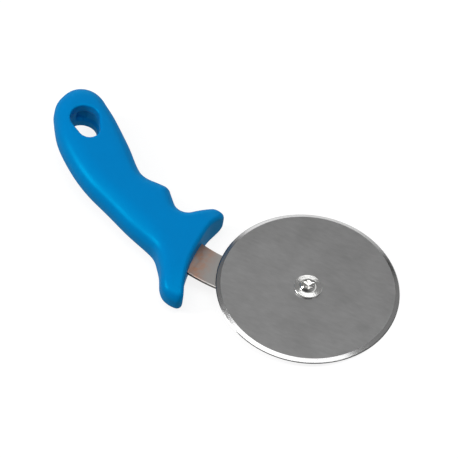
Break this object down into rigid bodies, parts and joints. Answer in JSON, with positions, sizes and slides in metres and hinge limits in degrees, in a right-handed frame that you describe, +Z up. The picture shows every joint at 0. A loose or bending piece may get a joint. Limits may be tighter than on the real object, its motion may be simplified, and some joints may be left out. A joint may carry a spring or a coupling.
{
  "type": "pizza cutter wheel",
  "caption": "Hand-held rotary cutter: a round steel blade spins on a screwed pivot at the end of a curved shank, and the moulded handle has a finger guard and a hanging hole.",
  "frame": {"origin": "on the table, under the middle of the tool's bounding box", "axes": "+X from the handle to the blade, +Y to the side with the finger groove, +Z up from the table"},
  "size_m": [0.219, 0.118, 0.0285],
  "materials": {
    "handle_plastic": "moulded blue polypropylene, satin",
    "shank_steel": "punched stainless strip, satin",
    "blade_steel": "rolled stainless sheet, ground bevel",
    "pivot_steel": "turned stainless, polished",
    "washer_steel": "turned stainless with fine rings",
    "washer_plastic": "punched nylon sheet"
  },
  "bodies": {
    "holder": {"handle": "handle_plastic", "shank": "shank_steel", "pivot_post": "pivot_steel", "pivot_screw": "pivot_steel", "cover_washer": "washer_steel"},
    "wheel": {"blade": "blade_steel", "front_thrust_washer": "washer_plastic", "rear_thrust_washer": "washer_plastic"}
  },
  "joints": [
    {"name": "blade_spin", "type": "hinge", "parent": "holder", "child": "wheel", "pos_m": [0.05983, -0.009, 0.0063], "axis": [0.0961, 0, 0.9954], "continuous": true}
  ]
}
